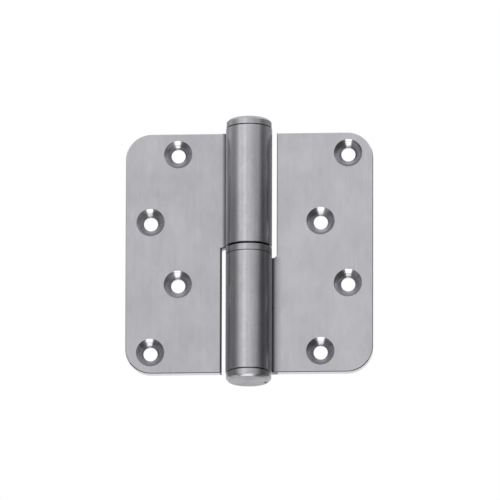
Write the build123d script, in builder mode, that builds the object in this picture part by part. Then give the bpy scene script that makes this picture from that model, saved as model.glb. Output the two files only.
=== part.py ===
from build123d import *
from math import acos, atan2, degrees, isclose, sqrt
import os

# Lift-off (paumelle) hinge: two equal leaves with rolled knuckles, a pin fixed in the lower knuckle,
# a bearing ring between the knuckles and a pressed cap on each end. Lengths are in millimetres.
#
# The origin is on the pin axis at mid-height, in the middle of the bearing ring. +Z runs up the pin to
# the door leaf's knuckle, +X points to the frame leaf, and the countersunk faces look along -Y.

# Sheet and leaves
open_width = 100.0
leaf_height = 100.0
sheet_thickness = 4.0
closed_gap = 5.0
corner_radius = 10.5
edge_break = 0.3

# Rolled knuckles, joined to the flat leaves by a crank
bore_diameter = 10.7
crank_bend_radius = 1.0
shoulder_to_bend = 2.0
seam_gap = 0.4
knuckle_overhang = 0.8
seam_chamfer = 0.2

# Notch in each leaf that lets the other leaf's knuckle turn
notch_clearance = 1.75
notch_to_crank = 0.15
notch_depth_margin = 0.5
notch_corner_radius = 1.2

# Bearing ring, pin and caps
ring_height = 3.4
pin_clearance = 0.05
pin_lead_in = 1.5
pin_tail_chamfer = 0.6
pin_top_gap = 7.0
pin_tail_gap = 1.0
cap_inset = 0.2
cap_height = 3.6
cap_end_chamfer = 1.0
cap_spigot_length = 5.0
cap_spigot_chamfer = 0.6

# Countersunk screw holes, staggered in two columns on each leaf
screw_hole_diameter = 5.7
countersink_diameter = 11.5
countersink_angle = 90.0
hole_edge_margin = 10.1
hole_column_step = 11.1
hole_end_margin = 8.7
hole_row_step = 28.3

# Values that follow from the driving dimensions
bore_radius = bore_diameter / 2
knuckle_radius = bore_radius + sheet_thickness
pin_radius = bore_radius - pin_clearance
cap_radius = knuckle_radius - cap_inset
leaf_front = closed_gap / 2
leaf_back = leaf_front + sheet_thickness
leaf_end = leaf_height / 2
leaf_edge = open_width / 2
ring_end = ring_height / 2
knuckle_end = leaf_end + knuckle_overhang
knuckle_length = knuckle_end - ring_end
notch_edge = knuckle_radius + notch_clearance
notch_floor = -ring_end - notch_depth_margin

# The sheet leaves the flat through a small bend, runs straight back beside the pin and goes on, without a
# kink, into the roll. The bend's centre lies behind the leaf. roll_start is the direction, seen from the pin,
# in which the straight run touches the roll. The roll stops just short of that run's front face. From the
# shoulder on, which lies on the straight run, the sheet is as long as the knuckle.
bend_x = notch_edge - notch_to_crank
bend_y = leaf_back + crank_bend_radius
bend_centre = Vector(bend_x, bend_y)
bend_distance = bend_centre.length
bend_outer_radius = crank_bend_radius + sheet_thickness
tangent_radius = knuckle_radius + crank_bend_radius
roll_start = degrees(atan2(bend_y, bend_x) + acos(tangent_radius / bend_distance))
roll_stop = roll_start - degrees(acos((bore_radius - seam_gap) / knuckle_radius))
roll_sweep = 360 + roll_stop - roll_start
bend_sweep = 90 - roll_start
run_length = sqrt(bend_distance**2 - tangent_radius**2)
run_normal = Vector(1, 0).rotate(Axis.Z, roll_start)
run_direction = run_normal.rotate(Axis.Z, -90)
shoulder = run_direction * (run_length - shoulder_to_bend)
shoulder_front = run_normal * bore_radius + shoulder
shoulder_back = run_normal * knuckle_radius + shoulder

# Hole places on the frame leaf, as distance from the pin axis and height
far_column = leaf_edge - hole_edge_margin
near_column = far_column - hole_column_step
outer_row = leaf_end - hole_end_margin
inner_row = outer_row - hole_row_step
hole_places = [
    (far_column, outer_row),
    (near_column, inner_row),
    (far_column, -inner_row),
    (near_column, -outer_row),
]

leaf_front_plane = Plane(origin=(0, leaf_front, 0), x_dir=(1, 0, 0), z_dir=(0, -1, 0))

os.makedirs("parts", exist_ok=True)

# Frame leaf: one folded sheet, with its knuckle on the lower half
with BuildPart() as frame_leaf:
    # Flat leaf and crank, drawn across the pin
    with BuildSketch(Plane.XY.offset(-leaf_end)):
        with BuildLine():
            front_bend = CenterArc(bend_centre, bend_outer_radius, 180 + roll_start, bend_sweep)
            back_bend = CenterArc(bend_centre, crank_bend_radius, 180 + roll_start, bend_sweep)
            Polyline(front_bend @ 1, (leaf_edge, leaf_front), (leaf_edge, leaf_back), back_bend @ 1)
            Polyline(back_bend @ 0, shoulder_back, shoulder_front, front_bend @ 0)
        make_face()
    extrude(amount=leaf_height)
    fillet(edges().filter_by(Axis.Y).group_by(Axis.X)[-1], corner_radius)

    # Notch above the knuckle
    with BuildSketch(leaf_front_plane):
        with BuildLine():
            Polyline(
                (0, leaf_height),
                (0, notch_floor),
                (notch_edge, notch_floor),
                (notch_edge, leaf_height),
                close=True,
            )
        make_face()
        fillet(vertices().group_by(Axis.Z)[0].sort_by(Axis.X)[-1], notch_corner_radius)
    extrude(amount=2 * knuckle_radius, both=True, mode=Mode.SUBTRACT)

    # Broken edges along the outline, in front and behind
    thickness_lines = edges().filter_by(Axis.Y) + edges().filter_by(Axis((0, 0, 0), run_normal))
    bend_lines = edges().filter_by(Axis.Z).filter_by_position(Axis.X, 0, bend_x + notch_to_crank / 2)
    chamfer(edges() - thickness_lines - bend_lines, edge_break)

    # Rest of the run and the roll, a little longer than the leaf's edge
    with BuildSketch(Plane.XY.offset(-knuckle_end)):
        with BuildLine():
            outer_arc = CenterArc((0, 0), knuckle_radius, roll_start, roll_sweep)
            inner_arc = CenterArc((0, 0), bore_radius, roll_start, roll_sweep)
            Line(outer_arc @ 1, inner_arc @ 1)
            Polyline(outer_arc @ 0, shoulder_back, shoulder_front, inner_arc @ 0)
        make_face()
    extrude(amount=knuckle_length)
    knuckle_rims = edges().filter_by(GeomType.CIRCLE).filter_by(Plane.XY)
    knuckle_rims = knuckle_rims.filter_by(lambda rim: isclose(rim.radius, knuckle_radius, rel_tol=1e-6))
    chamfer(knuckle_rims, seam_chamfer)

    # Countersunk screw holes
    with Locations(leaf_front_plane):
        with Locations(*hole_places):
            CounterSinkHole(
                radius=screw_hole_diameter / 2,
                counter_sink_radius=countersink_diameter / 2,
                counter_sink_angle=countersink_angle,
            )

# Door leaf: the same folded sheet, turned end for end
with BuildPart() as door_leaf:
    add(frame_leaf.part, rotation=(0, 180, 0))

# Hinge pin: a tail pressed into the frame knuckle and a slimmer shank for the ring and the door knuckle
pin_tail_end = -knuckle_end + cap_spigot_length + pin_tail_gap
pin_top = knuckle_end - cap_spigot_length - pin_top_gap
with BuildPart() as hinge_pin:
    with BuildSketch(Plane.XZ):
        with BuildLine():
            Polyline(
                (0, pin_tail_end),
                (bore_radius - pin_tail_chamfer, pin_tail_end),
                (bore_radius, pin_tail_end + pin_tail_chamfer),
                (bore_radius, -ring_end),
                (pin_radius, -ring_end),
                (pin_radius, pin_top - pin_lead_in),
                (pin_radius - pin_lead_in, pin_top),
                (0, pin_top),
                close=True,
            )
        make_face()
    revolve(axis=Axis.Z)

# Bearing ring: loose on the pin, it carries the door leaf's knuckle
with BuildPart() as bearing_ring:
    with BuildSketch(Plane.XY.offset(-ring_end)):
        Circle(knuckle_radius)
        Circle(bore_radius, mode=Mode.SUBTRACT)
    extrude(amount=ring_height)
    chamfer(edges().filter_by(GeomType.CIRCLE).sort_by(SortBy.RADIUS)[-2:], seam_chamfer)

# Top cap: a turned disc, a little slimmer than the knuckle, with a spigot pressed into the door knuckle's bore
with BuildPart() as top_cap:
    with BuildSketch(Plane.XY.offset(knuckle_end)):
        Circle(cap_radius)
    extrude(amount=cap_height)
    cap_rims = edges().filter_by(GeomType.CIRCLE).sort_by(Axis.Z)
    chamfer(cap_rims[-1], cap_end_chamfer)
    chamfer(cap_rims[0], seam_chamfer)
    with BuildSketch(Plane.XY.offset(knuckle_end)):
        Circle(bore_radius)
    extrude(amount=-cap_spigot_length)
    chamfer(edges().filter_by(GeomType.CIRCLE).sort_by(Axis.Z)[0], cap_spigot_chamfer)

# Bottom cap: the same turned cap, pressed into the frame knuckle from below
with BuildPart() as bottom_cap:
    add(top_cap.part, rotation=(0, 180, 0))

for name, piece in (
    ("frame_leaf", frame_leaf),
    ("door_leaf", door_leaf),
    ("hinge_pin", hinge_pin),
    ("bearing_ring", bearing_ring),
    ("top_cap", top_cap),
    ("bottom_cap", bottom_cap),
):
    piece.part.label = name
    export_step(piece.part, f"parts/{name}.step")
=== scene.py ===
"""Looks, light and camera for an open lift-off hinge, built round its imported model."""

from __future__ import annotations

import logging
import math
from dataclasses import dataclass
from enum import Enum
from typing import Any, Mapping, Optional, Sequence, Union

import bmesh
import bpy
from mathutils import Matrix, Vector


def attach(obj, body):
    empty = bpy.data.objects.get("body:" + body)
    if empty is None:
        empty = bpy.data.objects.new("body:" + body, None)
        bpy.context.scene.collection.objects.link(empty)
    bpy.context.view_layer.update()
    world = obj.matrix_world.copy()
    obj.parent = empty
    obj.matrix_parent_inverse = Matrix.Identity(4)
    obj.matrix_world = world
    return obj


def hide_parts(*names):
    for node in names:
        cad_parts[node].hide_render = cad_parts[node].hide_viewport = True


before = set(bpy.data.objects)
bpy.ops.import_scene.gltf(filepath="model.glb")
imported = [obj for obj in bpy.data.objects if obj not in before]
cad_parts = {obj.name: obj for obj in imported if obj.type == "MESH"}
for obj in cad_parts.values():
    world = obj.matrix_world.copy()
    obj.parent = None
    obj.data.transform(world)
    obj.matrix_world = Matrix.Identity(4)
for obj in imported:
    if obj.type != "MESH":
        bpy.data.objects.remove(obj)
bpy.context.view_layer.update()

log = logging.getLogger("hinge")

Colour = tuple[float, float, float]
Shade = tuple[float, float, float, float]
Point = tuple[float, float]
Place = tuple[float, float, float]
Stops = tuple[Point, ...]
Value = Union[float, "Socket"]

MM = 0.001
PICTURE_SIDE = 500
STEEL_TINT: Colour = (0.995, 0.98, 1.04)

# The Mix node's colour inputs and colour result, by place
MIX_FIRST = 6
MIX_SECOND = 7
MIX_RESULT = 2

# The value that noise swings round
NOISE_MIDDLE = 0.5

# How near points of a turned shell count as one, and as lying on a rim, in millimetres
MERGE_GAP = 1e-4
SAME_PLACE = 1e-3

# Half the side of a panel of the set before it is scaled, and the turn that sets it upright
HALF_PANEL = 0.5
QUARTER_TURN = math.pi / 2

# The nick in the bottom cap's end: its middle, its half sizes along X and Y, and the height it lies below
NICK_PLACE: Point = (6.75, 1.7)
NICK_SIZE: Point = (0.66, 1.9)
NICK_LEVEL = -54.0


class Body(Enum):
    """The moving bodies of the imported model."""

    FRAME = "frame"
    RING = "ring"
    DOOR = "door"


class Slot(Enum):
    """Names of material slots, which each new piece keeps as a field."""

    RING = "turned_ring"
    CAP = "turned_cap"


class Socket:
    """A shader value on which arithmetic adds Math nodes."""

    def __init__(self, graph: ShaderGraph, source: bpy.types.NodeSocket) -> None:
        """Wraps one output socket of a graph."""
        self.graph = graph
        self.source = source

    def math(self, operation: str, *values: Value) -> Socket:
        """Adds a Math node.

        Args:
            operation: the Math node's operation.
            values: the numbers or sockets that it works on, in order.

        Returns:
            The node's result.
        """
        return self.graph.node("ShaderNodeMath", {"operation": operation}, dict(enumerate(values)))

    def __add__(self, other: Value) -> Socket:
        """Sum."""
        return self.math("ADD", self, other)

    def __radd__(self, other: Value) -> Socket:
        """Sum with a number on the left."""
        return self.math("ADD", other, self)

    def __sub__(self, other: Value) -> Socket:
        """Difference."""
        return self.math("SUBTRACT", self, other)

    def __rsub__(self, other: Value) -> Socket:
        """Difference with a number on the left."""
        return self.math("SUBTRACT", other, self)

    def __mul__(self, other: Value) -> Socket:
        """Product."""
        return self.math("MULTIPLY", self, other)

    def __rmul__(self, other: Value) -> Socket:
        """Product with a number on the left."""
        return self.math("MULTIPLY", other, self)

    def __lt__(self, other: Value) -> Socket:
        """One where this value is the smaller, else zero."""
        return self.math("LESS_THAN", self, other)

    def __gt__(self, other: Value) -> Socket:
        """One where this value is the larger, else zero."""
        return self.math("GREATER_THAN", self, other)

    def __abs__(self) -> Socket:
        """Magnitude."""
        return self.math("ABSOLUTE", self)

    def sign(self) -> Socket:
        """Minus one, zero or one."""
        return self.math("SIGN", self)

    def root(self) -> Socket:
        """Square root."""
        return self.math("SQRT", self)

    def angle(self, across: Value) -> Socket:
        """Angle of a direction that rises by this value over another."""
        return self.math("ARCTAN2", self, across)

    def at_most(self, other: Value) -> Socket:
        """The smaller of two values."""
        return self.math("MINIMUM", self, other)

    def at_least(self, other: Value) -> Socket:
        """The larger of two values."""
        return self.math("MAXIMUM", self, other)

    def between(self, low: float, high: float) -> Socket:
        """One where this value lies between two limits, else zero."""
        return (self > low) * (self < high)

    def rise(self, low: float, high: float) -> Socket:
        """Goes smoothly from zero at the first limit to one at the second."""
        values = {"Value": self, "From Min": low, "From Max": high}
        return self.graph.node("ShaderNodeMapRange", {"interpolation_type": "SMOOTHSTEP"}, values)

    def graded(self, stops: Sequence[Point]) -> Value:
        """Goes smoothly from stop to stop.

        Args:
            stops: places in rising order, each with the result there.

        Returns:
            The graded value.
        """
        result: Value = stops[0][1]
        for (start, first), (end, second) in zip(stops, stops[1:]):
            result = self.rise(start, end) * (second - first) + result
        return result


class ShaderGraph:
    """A node tree that is emptied and then written as expressions."""

    def __init__(self, tree: bpy.types.NodeTree) -> None:
        """Empties the tree."""
        self.tree = tree
        tree.nodes.clear()

    def node(
        self,
        kind: str,
        settings: Optional[Mapping[str, Any]] = None,
        values: Optional[Mapping[Any, Any]] = None,
        result: Union[int, str] = 0,
    ) -> Socket:
        """Adds one node.

        Args:
            kind: the node's type.
            settings: the node's own properties, which are set first.
            values: numbers, colours or sockets for its inputs, by name or place.
            result: the output that is wanted, by name or place.

        Returns:
            That output.
        """
        made = self.tree.nodes.new(kind)
        for name, setting in (settings or {}).items():
            setattr(made, name, setting)
        for name, value in (values or {}).items():
            entry = made.inputs[name]
            if isinstance(value, Socket):
                self.tree.links.new(value.source, entry)
            else:
                entry.default_value = value
        return Socket(self, made.outputs[result])

    def parts(self, vector: Socket) -> list[Socket]:
        """A vector's parts along X, Y and Z."""
        split = self.node("ShaderNodeSeparateXYZ", values={0: vector}).source.node
        return [Socket(self, out) for out in split.outputs]

    def finish(self, kind: str, surface: Socket) -> None:
        """Leads a shader to the tree's output node, which is of the given type."""
        end = self.tree.nodes.new(kind)
        self.tree.links.new(surface.source, end.inputs["Surface"])


class MaterialGraph(ShaderGraph):
    """The node tree of a new material."""

    def __init__(self, name: str) -> None:
        """Makes the material and empties its tree.

        Args:
            name: the material's name.
        """
        self.material = bpy.data.materials.new(name)
        self.material.use_nodes = True
        super().__init__(self.material.node_tree)

    def close(self, surface: Socket) -> bpy.types.Material:
        """Leads a shader to the output and gives the finished material."""
        self.finish("ShaderNodeOutputMaterial", surface)
        return self.material


@dataclass(frozen=True)
class Grain:
    """A layer of noise: its grains' size in millimetres, and its share in tone, roughness and height."""

    size: Place
    detail: float = 2.0
    tone: float = 0.0
    rough: float = 0.0
    depth: float = 0.0


class SteelGraph(MaterialGraph):
    """A metal's node tree, with the object's own place in millimetres."""

    def __init__(self, name: str) -> None:
        """Makes the material and reads its coordinates.

        Args:
            name: the material's name.
        """
        super().__init__(name)
        place = self.node("ShaderNodeTexCoord", result="Object")
        self.place = self.scaled(place, (1 / MM, 1 / MM, 1 / MM))
        self.x, self.y, self.z = self.parts(self.place)
        facing = self.node("ShaderNodeTexCoord", result="Normal")
        self.facing_x, self.facing_y, self.facing_z = self.parts(facing)

    def scaled(self, vector: Socket, factors: Sequence[float]) -> Socket:
        """A vector with each part multiplied by its own factor."""
        return self.node("ShaderNodeVectorMath", {"operation": "MULTIPLY"}, {0: vector, 1: tuple(factors)})

    def joined(self, x: Value, y: Value, z: Value) -> Socket:
        """A vector from three values."""
        return self.node("ShaderNodeCombineXYZ", values={0: x, 1: y, 2: z})

    def noise(self, place: Socket, detail: float, rough: float = 0.5) -> Socket:
        """Soft noise with grains about one unit wide.

        Args:
            place: where it is read.
            detail: how many finer layers are added.
            rough: how strong these are.

        Returns:
            A value round NOISE_MIDDLE.
        """
        values = {"Vector": place, "Scale": 1.0, "Detail": detail, "Roughness": rough}
        return self.node("ShaderNodeTexNoise", values=values)

    def grain(self, layer: Grain, place: Optional[Socket] = None) -> Socket:
        """Noise drawn out along the axes.

        Args:
            layer: the size of its grains and its detail.
            place: where it is read, which is the object's own place if it isn't given.

        Returns:
            A value round NOISE_MIDDLE.
        """
        spread = self.scaled(place or self.place, [1 / size for size in layer.size])
        return self.noise(spread, layer.detail)

    def blend(self, share: Value, low: Any, high: Any) -> Socket:
        """A colour between two others.

        Args:
            share: zero for the first colour, one for the second.
            low: the first colour.
            high: the second colour.

        Returns:
            The mixed colour.
        """
        values = {"Factor": share, MIX_FIRST: low, MIX_SECOND: high}
        return self.node("ShaderNodeMix", {"data_type": "RGBA"}, values, MIX_RESULT)

    def steel(
        self,
        colour: Socket,
        rough: Value,
        relief: Socket,
        stretch: float,
        turn: float = 0.0,
    ) -> bpy.types.Material:
        """Closes the tree with a metal.

        Args:
            colour: the base colour.
            rough: the roughness.
            relief: the height of the surface in millimetres.
            stretch: how much the gloss is drawn out across the marks.
            turn: the share of a full turn by which that direction is turned.

        Returns:
            The finished material.
        """
        bump = self.node("ShaderNodeBump", values={"Strength": 1.0, "Distance": MM, "Height": relief})
        values = {
            "Base Color": colour,
            "Metallic": 1.0,
            "Roughness": rough,
            "Anisotropic": stretch,
            "Anisotropic Rotation": turn,
            "Normal": bump,
        }
        return self.close(self.node("ShaderNodeBsdfPrincipled", values=values))


def shade(level: float, tint: Colour = (1.0, 1.0, 1.0)) -> Shade:
    """A grey as a colour with alpha, with an optional tint."""
    return (level * tint[0], level * tint[1], level * tint[2], 1.0)


def steel_shade(level: float) -> Shade:
    """A grey with stainless steel's faint cool cast."""
    return shade(level, STEEL_TINT)


@dataclass(frozen=True)
class BrushedSheet:
    """Stainless sheet, brushed along the pin, with turned countersinks and cut edges."""

    name: str = "brushed_sheet"

    # The sheet's own sizes in millimetres, and a skin that keeps a mask off the faces next to it
    front: float = 2.5
    back: float = 6.5
    roll_radius: float = 9.35
    knuckle_reach: float = 10.95
    knuckle_end: float = 50.8
    notch_depth: float = 2.2
    hole_radius: float = 2.85
    sunk_reach: float = 5.77
    hole_places: tuple[Point, ...] = ((39.9, 41.3), (28.8, 13.0), (39.9, -13.0), (28.8, -41.3))
    skin: float = 0.02

    # Brushed faces
    dark: float = 0.338
    light: float = 0.547
    tone_offset: float = -0.2
    # Painted light: the frame leaf is lighter and the door leaf darker by this share
    painted_side_light: float = 0.08
    rough: float = 0.3
    stretch: float = 0.45
    brush: Grain = Grain((0.16, 0.16, 14.0), tone=0.2, rough=0.12, depth=0.002)
    bands: Grain = Grain((0.7, 0.7, 28.0), detail=3.0, tone=0.25, rough=0.08)
    blots: Grain = Grain((2.2, 2.2, 5.0), detail=3.0, tone=0.35)
    clouds: Grain = Grain((11.0, 11.0, 15.0), tone=0.6)

    # Rolled knuckles, with rings in a zone at their ends and painted shade on a slanted rim at each seam
    scuffs: Grain = Grain((1.6, 1.6, 0.7), detail=3.0, tone=0.35, depth=0.002)
    rings: Grain = Grain((1.0, 1.0, 0.2), detail=3.0, tone=0.4, depth=0.002)
    ring_zone: float = 7.0
    rolled_gloss: float = 0.06
    seam_slant: Point = (-0.9, -0.4)
    seam_shade: float = 0.8

    # Painted shade on the crank beside the roll, its lower end, and the first stretch of the flat, by
    # distance from the pin
    crank_fade: Point = (9.8, 11.4)
    crank_shade: float = 0.6
    crank_end_reach: float = 0.1
    crank_end_facing: float = 0.5
    crank_end_shade: float = 0.85
    flat_shade: Stops = ((10.6, 0.56), (11.9, 0.2), (13.4, 0.0))

    # Sheared edges, their slanted rims, and the painted shade of the dark lines below them and along the
    # notch
    shear: Grain = Grain((0.25, 4.0, 0.25), depth=0.004)
    cut_tones: Point = (0.66, 0.8)
    cut_facing: float = 0.35
    cut_gloss: float = 0.04
    rim_tone: float = 0.92
    rim_slant: Point = (-0.9, -0.5)
    painted_shade_tone: float = 0.07
    rim_shade_facing: float = 0.4
    inner_reach: float = 0.6
    notch_reach: float = 0.85

    # Countersinks, with turning marks and with the light that each place gets from the hole outwards
    sunk_tones: Point = (0.12, 0.88)
    sunk_light: Stops = ((0.02, 1.7), (0.11, 0.62), (1.3, 1.0), (2.65, 1.14))
    sunk_gloss: float = 0.12
    turn_rate: float = 2.6
    turn_drift: float = 0.06
    turn_detail: float = 3.0
    turn_rough: float = 0.6
    turn_tone: float = 1.2
    turn_offset: float = -0.1
    turn_depth: float = 0.003

    def hole_distance(self, graph: SteelGraph) -> Socket:
        """Distance from the nearest screw hole's axis, with the door leaf turned onto the frame leaf.

        Args:
            graph: the sheet's node tree.

        Returns:
            The distance in millimetres.
        """
        side = graph.x.sign()
        across = graph.x * side
        along = graph.z * side
        nearest: Optional[Socket] = None
        for x, z in self.hole_places:
            off_x = across - x
            off_z = along - z
            square = off_x * off_x + off_z * off_z
            nearest = square if nearest is None else nearest.at_most(square)
        return nearest.root()

    def painted_bend_shade(self, graph: SteelGraph) -> Socket:
        """How much painted shade darkens the crank, and on the frame leaf the first stretch of the flat.

        Args:
            graph: the sheet's node tree.

        Returns:
            Zero for a plain place, one for a dark one.
        """
        reach = abs(graph.x)
        past_roll = self.roll_radius + self.skin
        crank = (reach > past_roll) * (1.0 - reach.rise(*self.crank_fade)) * self.crank_shade
        first_flat = graph.x.graded(self.flat_shade) * (graph.x > past_roll) * (graph.z < -self.notch_depth)
        crank_end = reach.between(past_roll, self.knuckle_reach + self.crank_end_reach)
        crank_end = crank_end * (graph.facing_z < -self.crank_end_facing) * self.crank_end_shade
        return crank.at_least(first_flat).at_least(crank_end)

    def countersinks(self, graph: SteelGraph) -> tuple[Socket, Socket, Socket]:
        """Countersinks that are turned round each hole's axis and darker towards the hole.

        Args:
            graph: the sheet's node tree.

        Returns:
            The mask of the countersinks, their colour and their turning marks.
        """
        radius = self.hole_distance(graph)
        mask = (radius < self.sunk_reach) * graph.y.between(self.front + self.skin, self.back - self.skin)
        drift = self.turn_drift
        place = graph.joined(radius * self.turn_rate, graph.x * drift, graph.z * drift)
        turned = graph.noise(place, self.turn_detail, self.turn_rough)
        light = (radius - self.hole_radius).graded(self.sunk_light)
        tone = (turned * self.turn_tone + self.turn_offset) * light
        return mask, graph.blend(tone, *map(steel_shade, self.sunk_tones)), turned

    def material(self) -> bpy.types.Material:
        """Writes the finish as a material.

        Returns:
            The finished material.
        """
        graph = SteelGraph(self.name)
        # The grey of all painted shade on the sheet: crank, seam rims, notch line and the rims below and
        # beside the roll
        painted_shade = steel_shade(self.painted_shade_tone)
        fine = graph.grain(self.brush)
        bands = graph.grain(self.bands)
        blots = graph.grain(self.blots)
        clouds = graph.grain(self.clouds)
        tone = fine * self.brush.tone + bands * self.bands.tone + blots * self.blots.tone
        # Painted light: the frame leaf is made a little lighter than the door leaf
        tone = tone + clouds * self.clouds.tone + self.tone_offset + graph.x.sign() * self.painted_side_light

        # The rolled knuckles keep faint marks across them, and fine rings near their ends
        rolled = abs(graph.x) < self.knuckle_reach
        near_end = rolled * abs(graph.z).rise(self.knuckle_end - self.ring_zone, self.knuckle_end)
        rings = graph.grain(self.rings, graph.joined(0.0, 0.0, graph.z))
        scuffs = graph.grain(self.scuffs)
        tone = tone + (rings - NOISE_MIDDLE) * near_end * self.rings.tone
        tone = tone + (scuffs - NOISE_MIDDLE) * rolled * self.scuffs.tone
        colour = graph.blend(tone, steel_shade(self.dark), steel_shade(self.light))

        # Painted shade darkens the crank, and the slanted rim under each knuckle is painted dark as the
        # shade of its seam
        colour = graph.blend(self.painted_bend_shade(graph), colour, painted_shade)
        seam_rim = rolled * graph.facing_z.between(*self.seam_slant)
        colour = graph.blend(seam_rim * self.seam_shade, colour, painted_shade)

        # Sheared edges of the leaf, with a painted shade line along the notch and on the cut faces beside
        # the roll
        flat = 1.0 - rolled
        inner = abs(graph.x) < self.knuckle_reach + self.inner_reach
        cut = flat * (abs(graph.facing_y) < self.cut_facing)
        shear = graph.grain(self.shear)
        colour = graph.blend(cut, colour, graph.blend(shear, *map(steel_shade, self.cut_tones)))
        notch = flat * graph.x.between(-self.knuckle_reach - self.notch_reach, 0.0)
        notch = notch * (graph.z < self.notch_depth)
        colour = graph.blend(notch.at_least(cut * inner), colour, painted_shade)

        # The slanted rims of these edges are bright, and painted dark as shade below and beside the roll
        sunk, sunk_colour, turned = self.countersinks(graph)
        slanted = flat * graph.facing_y.between(*self.rim_slant) * (1.0 - sunk)
        rim_shade = (graph.facing_z < -self.rim_shade_facing).at_least(inner * (graph.facing_x > self.rim_shade_facing))
        colour = graph.blend(slanted, colour, graph.blend(rim_shade, steel_shade(self.rim_tone), painted_shade))
        colour = graph.blend(sunk, colour, sunk_colour)

        rough = self.rough + (fine - NOISE_MIDDLE) * self.brush.rough
        rough = rough + (bands - NOISE_MIDDLE) * self.bands.rough
        rough = rough - sunk * self.sunk_gloss - cut * self.cut_gloss - rolled * self.rolled_gloss
        plain = (1.0 - sunk) * (1.0 - cut)
        relief = fine * plain * self.brush.depth + turned * sunk * self.turn_depth
        relief = relief + shear * cut * self.shear.depth
        relief = relief + rings * near_end * self.rings.depth + scuffs * rolled * self.scuffs.depth
        return graph.steel(colour, rough, relief, self.stretch)


@dataclass(frozen=True)
class TurnedSteel:
    """Turned stainless steel with rings round the pin's axis, and painted shade in the undercut at its
    seams.
    """

    name: str
    dark: float = 0.37
    light: float = 0.56
    tone_offset: float = -0.15
    rough: float = 0.27
    stretch: float = 0.5
    stretch_turn: float = 0.25

    # Rings, whose grain runs by distance from the axis, height and seed, and clouds
    fine: Grain = Grain((0.14, 0.14, 1.0), detail=3.0, tone=0.5, rough=0.12, depth=0.003)
    bands: Grain = Grain((0.6, 0.6, 1.0), tone=0.4, rough=0.06)
    band_seed: float = 7.0
    clouds: Grain = Grain((5.0, 5.0, 2.0), detail=1.0, tone=0.4)

    # A painted sheen in a soft fan on a faced end
    faced_facing: float = 0.9
    faced_offset: float = -1.05
    fan_rate: float = 1.6
    fan_seed: float = 3.0
    fan_detail: float = 1.0
    sheen_tone: float = 1.2

    # The painted shade in the undercut at a seam, and in the nick
    undercut_radius: float = 8.8
    undercut_facing: float = 0.5
    undercut_shade_tone: float = 0.02
    nick_fade: Point = (0.6, 1.1)
    nick_shade_tone: float = 0.05

    def nick(self, graph: SteelGraph) -> Socket:
        """The small nick near the rim of the bottom cap's end, where painted shade darkens it.

        Args:
            graph: the metal's node tree.

        Returns:
            One in the nick, else zero.
        """
        off_x = (graph.x - NICK_PLACE[0]) * (1 / NICK_SIZE[0])
        off_y = (graph.y - NICK_PLACE[1]) * (1 / NICK_SIZE[1])
        from_middle = (off_x * off_x + off_y * off_y).root()
        return (1.0 - from_middle.rise(*self.nick_fade)) * (graph.z < NICK_LEVEL)

    def material(self) -> bpy.types.Material:
        """Writes the finish as a material.

        Returns:
            The finished material.
        """
        graph = SteelGraph(self.name)
        radius = (graph.x * graph.x + graph.y * graph.y).root()
        fine = graph.grain(self.fine, graph.joined(radius, graph.z, 0.0))
        bands = graph.grain(self.bands, graph.joined(radius, graph.z, self.band_seed))
        clouds = graph.grain(self.clouds)
        tone = fine * self.fine.tone + bands * self.bands.tone
        tone = tone + clouds * self.clouds.tone + self.tone_offset

        # A faced end gets a painted sheen in a soft fan round its middle, and is darker overall
        faced = abs(graph.facing_z) > self.faced_facing
        way = graph.y.angle(graph.x) * self.fan_rate
        fan = graph.noise(graph.joined(way, self.fan_seed, graph.z.sign()), self.fan_detail)
        tone = tone + faced * (fan * self.sheen_tone + self.faced_offset)
        colour = graph.blend(tone, steel_shade(self.dark), steel_shade(self.light))

        # Painted shade: the undercut at each seam is painted almost black
        undercut = (radius < self.undercut_radius) * (abs(graph.facing_z) < self.undercut_facing)
        colour = graph.blend(undercut, colour, steel_shade(self.undercut_shade_tone))
        # Painted shade darkens the nick in the bottom cap's end
        colour = graph.blend(self.nick(graph), colour, steel_shade(self.nick_shade_tone))
        rough = self.rough + (fine - NOISE_MIDDLE) * self.fine.rough
        rough = rough + (bands - NOISE_MIDDLE) * self.bands.rough
        return graph.steel(colour, rough, fine * self.fine.depth, self.stretch, self.stretch_turn)


@dataclass(frozen=True)
class GroundBar:
    """Ground stainless bar with short fine marks round it."""

    name: str = "ground_bar"
    dark: float = 0.46
    light: float = 0.6
    tone_offset: float = -0.05
    rough: float = 0.2
    stretch: float = 0.4
    stretch_turn: float = 0.25
    marks: Grain = Grain((1.6, 1.6, 0.09), tone=0.6, rough=0.1, depth=0.0015)
    clouds: Grain = Grain((4.0, 4.0, 6.0), tone=0.5)

    def material(self) -> bpy.types.Material:
        """Writes the finish as a material.

        Returns:
            The finished material.
        """
        graph = SteelGraph(self.name)
        marks = graph.grain(self.marks)
        clouds = graph.grain(self.clouds)
        tone = marks * self.marks.tone + clouds * self.clouds.tone + self.tone_offset
        colour = graph.blend(tone, steel_shade(self.dark), steel_shade(self.light))
        rough = self.rough + (marks - NOISE_MIDDLE) * self.marks.rough
        return graph.steel(colour, rough, marks * self.marks.depth, self.stretch, self.stretch_turn)


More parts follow.
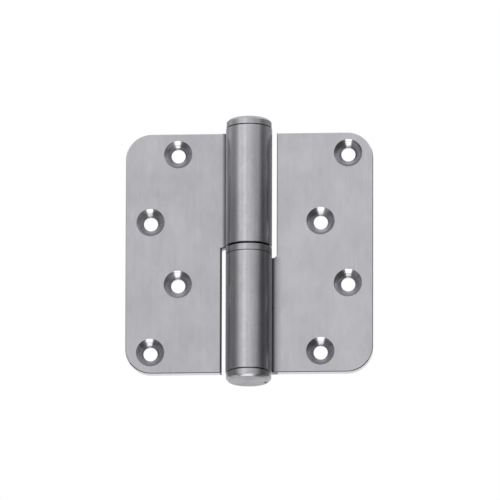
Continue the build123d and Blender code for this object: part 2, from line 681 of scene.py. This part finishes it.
@dataclass
class TurnedPiece:
    """A piece turned round the pin's axis, which stands for one node. Its sizes are in millimetres."""

    node: str
    body: Body
    slot: Slot
    finish: bpy.types.Material
    outer_radius: float = 9.35
    bore_radius: float = 5.35
    land_radius: float = 8.45
    groove_pitch: float = 0.42
    groove_depth: float = 0.012
    groove_shape: Stops = ((0.3, 0.0), (0.5, 1.0), (0.7, 0.0))
    steps: int = 160
    rim_steps: int = 4
    sharp_angle: float = 32.0

    def outline(self) -> list[Point]:
        """The profile as distances from the axis and heights, which each kind of piece gives."""
        raise NotImplementedError

    def rounded(self) -> list[tuple[Point, float]]:
        """The profile's corners that are rounded, each with its radius, which each kind of piece gives."""
        raise NotImplementedError

    def grooved(self, start: Point, stop: Point) -> list[Point]:
        """A straight stretch of profile with fine turning grooves.

        Args:
            start: where the stretch starts.
            stop: where it ends.

        Returns:
            The points from start to stop, with a shallow dip between each pair of crests.
        """
        first = Vector(start)
        run = Vector(stop) - first
        count = max(1, int(run.length / self.groove_pitch))
        inward = Vector((run.y, -run.x)).normalized() * -self.groove_depth
        points = [start]
        for groove in range(count):
            for share, dip in self.groove_shape:
                place = first + run * ((groove + share) / count) + inward * dip
                points.append((place.x, place.y))
        points.append(stop)
        return points

    def turned(self, points: Sequence[Point], closed: bool) -> bmesh.types.BMesh:
        """Turns a profile round the axis.

        Args:
            points: the profile.
            closed: whether its ends are joined.

        Returns:
            The turned shell in millimetres.
        """
        shape = bmesh.new()
        row = [shape.verts.new((radius, 0.0, height)) for radius, height in points]
        lines = [shape.edges.new(pair) for pair in zip(row, row[1:])]
        if closed:
            lines.append(shape.edges.new((row[-1], row[0])))
        bmesh.ops.spin(
            shape,
            geom=row + lines,
            cent=(0.0, 0.0, 0.0),
            axis=(0.0, 0.0, 1.0),
            dvec=(0.0, 0.0, 0.0),
            angle=2 * math.pi,
            steps=self.steps,
            use_merge=True,
        )
        bmesh.ops.remove_doubles(shape, verts=shape.verts, dist=MERGE_GAP)
        bmesh.ops.recalc_face_normals(shape, faces=shape.faces)
        return shape

    def soften(self, shape: bmesh.types.BMesh) -> None:
        """Rounds the rims that the profile names.

        Args:
            shape: the turned shell, which is changed.
        """
        for (radius, height), size in self.rounded():
            rim = [
                edge
                for edge in shape.edges
                if all(
                    abs(vert.co.xy.length - radius) < SAME_PLACE and abs(vert.co.z - height) < SAME_PLACE
                    for vert in edge.verts
                )
            ]
            bmesh.ops.bevel(
                shape,
                geom=rim,
                offset=size,
                offset_type="OFFSET",
                segments=self.rim_steps,
                profile=0.5,
                affect="EDGES",
                material=-1,
            )

    def build(self) -> bpy.types.Object:
        """Makes the piece and puts it in the node's place.

        Returns:
            The finished object.
        """
        points = self.outline()
        shape = self.turned(points, closed=points[0][0] > 0.0)
        self.soften(shape)
        bmesh.ops.scale(shape, verts=shape.verts, vec=(MM, MM, MM))
        mesh = bpy.data.meshes.new(f"{self.node}_turned")
        shape.to_mesh(mesh)
        shape.free()
        mesh.shade_smooth()
        mesh.set_sharp_from_angle(angle=math.radians(self.sharp_angle))
        mesh.materials.append(self.finish)
        piece = bpy.data.objects.new(f"{self.node}_turned", mesh)
        bpy.context.scene.collection.objects.link(piece)
        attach(piece, self.body.value)
        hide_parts(self.node)
        log.info("%s stands for %s with %d faces", piece.name, self.node, len(mesh.polygons))
        return piece


@dataclass
class BearingRing(TurnedPiece):
    """The loose ring between the knuckles, with raised faces that leave a shadow line at its rim."""

    half_height: float = 1.7
    upper_relief: float = 0.8
    lower_relief: float = 0.1
    rim_round: float = 0.08

    def rims(self) -> list[Point]:
        """The outer rims, the lower one first."""
        heights = (self.lower_relief - self.half_height, self.half_height - self.upper_relief)
        return [(self.outer_radius, height) for height in heights]

    def outline(self) -> list[Point]:
        """The ring's section.

        Returns:
            Its corners and the grooves of its rim, round the section.
        """
        lower, upper = self.rims()
        return [
            (self.bore_radius, -self.half_height),
            (self.land_radius, -self.half_height),
            (self.land_radius, lower[1]),
            *self.grooved(lower, upper),
            (self.land_radius, upper[1]),
            (self.land_radius, self.half_height),
            (self.bore_radius, self.half_height),
        ]

    def rounded(self) -> list[tuple[Point, float]]:
        """Both outer rims, the upper one first."""
        return [(rim, self.rim_round) for rim in reversed(self.rims())]


@dataclass
class EndCap(TurnedPiece):
    """A pressed cap with a faced end, given for the top and turned over for the bottom."""

    outer_radius: float = 9.15
    upward: bool = True
    seat: float = 50.8
    height: float = 3.6
    relief: float = 0.3
    rim_round: float = 0.14
    end_chamfer: float = 1.0
    chamfer_round: float = 0.3
    centre_radius: float = 0.6
    spigot: float = 5.0
    spigot_chamfer: float = 0.6
    nicked: bool = False
    nick_depth: float = 0.2

    def levels(self, points: Sequence[Point]) -> list[Point]:
        """Moves profile points from heights above the seat to the hinge's own heights."""
        side = 1.0 if self.upward else -1.0
        return [(radius, side * (self.seat + height)) for radius, height in points]

    def rims(self) -> list[Point]:
        """Finds the rims that are rounded.

        Returns:
            The rim at the seam and both edges of the end's chamfer, by height above the seat.
        """
        inner = self.outer_radius - self.end_chamfer
        shoulder = self.height - self.end_chamfer
        return [(self.outer_radius, self.relief), (self.outer_radius, shoulder), (inner, self.height)]

    def outline(self) -> list[Point]:
        """The cap's section.

        Returns:
            Its points from the spigot's end to the faced end, both on the axis.
        """
        seam, shoulder, inner = self.rims()
        points = [
            (0.0, -self.spigot),
            (self.bore_radius - self.spigot_chamfer, -self.spigot),
            (self.bore_radius, self.spigot_chamfer - self.spigot),
            (self.bore_radius, 0.0),
            (self.land_radius, 0.0),
            (self.land_radius, self.relief),
            *self.grooved(seam, shoulder),
            *self.grooved(inner, (self.centre_radius, self.height)),
            (0.0, self.height),
        ]
        return self.levels(points)

    def rounded(self) -> list[tuple[Point, float]]:
        """The rims with their radii."""
        radii = (self.rim_round, self.chamfer_round, self.chamfer_round)
        return list(zip(self.levels(self.rims()), radii))

    def soften(self, shape: bmesh.types.BMesh) -> None:
        """Rounds the rims and presses in the nick, if the faced end has one.

        Args:
            shape: the turned shell, which is changed.
        """
        super().soften(shape)
        if not self.nicked:
            return
        _, end = self.levels([(0.0, self.height)])[0]
        for vert in shape.verts:
            off_x = (vert.co.x - NICK_PLACE[0]) / NICK_SIZE[0]
            off_y = (vert.co.y - NICK_PLACE[1]) / NICK_SIZE[1]
            near = 1.0 - off_x * off_x - off_y * off_y
            if near > 0.0 and abs(vert.co.z - end) < 2 * self.groove_depth:
                vert.co.z -= math.copysign(self.nick_depth * near * near, end)


def dress(node: str, material: bpy.types.Material) -> None:
    """Gives a carried-over node its material.

    Args:
        node: the node's name.
        material: the finish.
    """
    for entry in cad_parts[node].material_slots:
        entry.material = material
    log.info("%s keeps its shape and wears %s", node, material.name)


@dataclass(frozen=True)
class SideCard:
    """A grey card that stands beside the hinge. Places are in metres, tones from front to back.

    Its tones are multiplied by low_share, one and high_share at the three share levels.
    """

    name: str
    x: float
    low: float
    high: float
    tones: Stops
    low_share: float = 1.0
    high_share: float = 1.0
    share_levels: Place = (-0.1, 0.05, 0.11)

    def shares(self) -> Stops:
        """How strong its tones are by height."""
        return tuple(zip(self.share_levels, (self.low_share, 1.0, self.high_share)))

    def span(self) -> Point:
        """Its height and its depth."""
        return (self.high - self.low, self.tones[-1][0] - self.tones[0][0])

    def middle(self) -> Place:
        """The place of its middle."""
        return (self.x, (self.tones[0][0] + self.tones[-1][0]) / 2, (self.low + self.high) / 2)


@dataclass(frozen=True)
class SoftLamp:
    """A lamp that faces the hinge. Its place and sides are in metres, and a radiance of one is white."""

    name: str
    place: Place
    span: Point
    radiance: float


@dataclass
class Studio:
    """Pale floor, grey cards that only reflections see, and two soft lamps. Places are in metres."""

    floor_level: float = -3.0
    floor_side: float = 40.0
    floor_tone: float = 0.9
    floor_glow: float = 0.7
    ambient: float = 0.7
    front_middle: Place = (-0.15, -3.0, -0.52)
    front_span: Point = (1.3, 0.52)
    front_tone: float = 0.4
    cards: tuple[SideCard, ...] = (
        SideCard(
            "left_card",
            x=-0.2,
            low=-0.54,
            high=0.15,
            tones=(
                (-0.26, 1.05),
                (-0.2, 0.9),
                (-0.174, 0.66),
                (-0.114, 0.34),
                (-0.06, 0.25),
                (-0.01, 0.28),
                (0.05, 0.48),
                (0.12, 0.36),
            ),
            low_share=0.55,
            high_share=1.65,
        ),
        SideCard(
            "left_back_card",
            x=-0.2,
            low=0.03,
            high=0.35,
            tones=((0.12, 0.36), (0.5, 0.4)),
            high_share=1.3,
        ),
        SideCard(
            "right_card",
            x=0.2,
            low=-0.8,
            high=0.15,
            tones=(
                (-0.2, 0.46),
                (-0.139, 0.25),
                (-0.087, 0.09),
                (-0.04, 0.075),
                (0.02, 0.18),
                (0.12, 0.24),
            ),
            high_share=2.0,
        ),
        SideCard(
            "right_back_card",
            x=0.2,
            low=0.03,
            high=0.35,
            tones=((0.12, 0.24), (0.5, 0.3)),
            high_share=1.6,
        ),
        SideCard("left_low_card", x=-0.19, low=-0.5, high=-0.22, tones=((-0.02, 1.0), (0.3, 1.0))),
        SideCard(
            "far_right_card",
            x=0.7,
            low=-0.3,
            high=2.0,
            tones=((-4.0, 0.97), (-1.63, 0.8), (-1.06, 0.66), (-0.7, 0.46)),
        ),
    )
    lamps: tuple[SoftLamp, ...] = (
        SoftLamp("key_lamp", place=(-0.42, -1.25, 0.42), span=(0.42, 1.0), radiance=0.52),
        SoftLamp("low_lamp", place=(-0.06, -0.22, -0.9), span=(0.7, 0.65), radiance=1.3),
    )

    def panel(
        self,
        name: str,
        material: bpy.types.Material,
        span: Point,
        place: Matrix,
    ) -> bpy.types.Object:
        """Makes a flat panel of the set.

        Args:
            name: the panel's name.
            material: its material.
            span: its two sides.
            place: what turns and moves it from where it lies flat round the origin.

        Returns:
            The object.
        """
        shape = bmesh.new()
        bmesh.ops.create_grid(shape, x_segments=1, y_segments=1, size=HALF_PANEL)
        bmesh.ops.scale(shape, verts=shape.verts, vec=(*span, 1.0))
        bmesh.ops.transform(shape, matrix=place, verts=shape.verts)
        mesh = bpy.data.meshes.new(name)
        shape.to_mesh(mesh)
        shape.free()
        mesh.materials.append(material)
        piece = bpy.data.objects.new(name, mesh)
        bpy.context.scene.collection.objects.link(piece)
        return piece

    def hang_card(self, graph: MaterialGraph, tone: Any, span: Point, place: Matrix) -> None:
        """Hangs a grey card that only glossy rays see.

        Args:
            graph: the node tree of its material, which it shares its name with.
            tone: its grey, as a colour or a value.
            span: its two sides.
            place: what turns and moves it from where it lies flat round the origin.
        """
        material = graph.close(graph.node("ShaderNodeEmission", values={"Color": tone}))
        card = self.panel(material.name, material, span, place)
        card.visible_camera = False
        card.visible_diffuse = False
        card.visible_shadow = False

    def seen_share(self, graph: ShaderGraph) -> Socket:
        """Finds what the camera sees, straight or in metal and glass.

        Args:
            graph: the node tree that asks.

        Returns:
            One for camera, glossy and transmission rays, else zero.
        """
        path = graph.node("ShaderNodeLightPath").source.node
        camera, glossy, through = (
            Socket(graph, path.outputs[f"Is {kind} Ray"]) for kind in ("Camera", "Glossy", "Transmission")
        )
        return (camera + glossy + through).at_most(1.0)

    def make_world(self) -> None:
        """White behind the hinge and in its reflections, softer as light."""
        world = bpy.data.worlds.new("white_room")
        world.use_nodes = True
        bpy.context.scene.world = world
        graph = ShaderGraph(world.node_tree)
        white = graph.node("ShaderNodeBackground", values={"Color": shade(1.0), "Strength": 1.0})
        dim = graph.node("ShaderNodeBackground", values={"Color": shade(1.0), "Strength": self.ambient})
        mixed = graph.node("ShaderNodeMixShader", values={0: self.seen_share(graph), 1: dim, 2: white})
        graph.finish("ShaderNodeOutputWorld", mixed)

    def make_floor(self) -> None:
        """Lays the floor, which keeps a soft shadow."""
        graph = MaterialGraph("pale_floor")
        paint = graph.node("ShaderNodeBsdfDiffuse", values={"Color": shade(self.floor_tone)})
        glow = graph.node("ShaderNodeEmission", values={"Color": shade(1.0), "Strength": 1.0})
        share = self.seen_share(graph) * self.floor_glow
        mixed = graph.node("ShaderNodeMixShader", values={0: share, 1: paint, 2: glow})
        place = Matrix.Translation((0.0, 0.0, self.floor_level))
        self.panel("floor", graph.close(mixed), (self.floor_side, self.floor_side), place)

    def make_side_card(self, card: SideCard) -> None:
        """Hangs one of the cards beside the hinge.

        Args:
            card: its place and tones.
        """
        graph = MaterialGraph(card.name)
        _, y, z = graph.parts(graph.node("ShaderNodeTexCoord", result="Object"))
        tone = y.graded(card.tones) * z.graded(card.shares())
        place = Matrix.Translation(card.middle()) @ Matrix.Rotation(QUARTER_TURN, 4, "Y")
        self.hang_card(graph, tone, card.span(), place)

    def make_front_card(self) -> None:
        """Hangs the card low in front of the hinge."""
        place = Matrix.Translation(self.front_middle) @ Matrix.Rotation(QUARTER_TURN, 4, "X")
        self.hang_card(MaterialGraph("front_card"), shade(self.front_tone), self.front_span, place)

    def make_lamp(self, lamp: SoftLamp) -> None:
        """Hangs a soft lamp.

        Args:
            lamp: its place, size and brightness.
        """
        data = bpy.data.lights.new(lamp.name, "AREA")
        data.shape = "RECTANGLE"
        data.size, data.size_y = lamp.span
        data.energy = lamp.radiance * math.pi * data.size * data.size_y
        holder = bpy.data.objects.new(lamp.name, data)
        bpy.context.scene.collection.objects.link(holder)
        holder.location = lamp.place
        holder.rotation_euler = Vector(lamp.place).to_track_quat("Z", "Y").to_euler()
        holder.visible_camera = False

    def build(self) -> None:
        """Makes the whole set."""
        self.make_world()
        self.make_floor()
        for card in self.cards:
            self.make_side_card(card)
        self.make_front_card()
        for lamp in self.lamps:
            self.make_lamp(lamp)
        log.info("studio is set")


@dataclass
class PhotoCamera:
    """A long lens that looks up at the hinge a little, from just right of its middle."""

    azimuth: float = 3.0
    elevation: float = -15.0
    roll: float = 0.14
    distance: float = 8.0
    pixels_per_mm: float = 2.4784
    hinge_column: float = 248.37
    hinge_row: float = 250.47
    sensor: float = 36.0

    def build(self) -> None:
        """Makes the camera and hands it to the scene."""
        turn = math.radians(self.azimuth)
        rise = math.radians(self.elevation)
        level = math.cos(rise)
        back = Vector((math.sin(turn) * level, -math.cos(turn) * level, math.sin(rise)))
        right = Vector((math.cos(turn), math.sin(turn), 0.0))
        up = back.cross(right)
        middle = (PICTURE_SIDE - 1) / 2
        step = MM / self.pixels_per_mm
        aim = right * ((middle - self.hinge_column) * step) - up * ((middle - self.hinge_row) * step)
        data = bpy.data.cameras.new("photo_camera")
        data.sensor_width = self.sensor
        data.lens = self.sensor * self.distance / (PICTURE_SIDE * step)
        camera = bpy.data.objects.new("photo_camera", data)
        bpy.context.scene.collection.objects.link(camera)
        camera.location = aim + back * self.distance
        facing = (-back).to_track_quat("-Z", "Y").to_matrix().to_4x4()
        camera.rotation_euler = (facing @ Matrix.Rotation(math.radians(self.roll), 4, "Z")).to_euler()
        bpy.context.scene.camera = camera
        log.info("camera looks from %.1f, %.1f degrees", self.azimuth, self.elevation)


def main() -> None:
    """Builds camera, studio and the dressed hinge in order."""
    logging.basicConfig(level=logging.INFO, format="%(name)s: %(message)s")
    bpy.context.scene.view_settings.view_transform = "Standard"
    PhotoCamera().build()
    Studio().build()
    sheet = BrushedSheet().material()
    dress("frame_leaf", sheet)
    dress("door_leaf", sheet)
    dress("hinge_pin", GroundBar().material())
    ring_steel = TurnedSteel("turned_ring_steel", dark=0.33, light=0.5).material()
    BearingRing("bearing_ring", Body.RING, Slot.RING, ring_steel).build()
    cap_steel = TurnedSteel("turned_cap_steel", rough=0.33).material()
    EndCap("top_cap", Body.DOOR, Slot.CAP, cap_steel).build()
    EndCap("bottom_cap", Body.FRAME, Slot.CAP, cap_steel, upward=False, nicked=True).build()


if __name__ == "__main__":
    main()
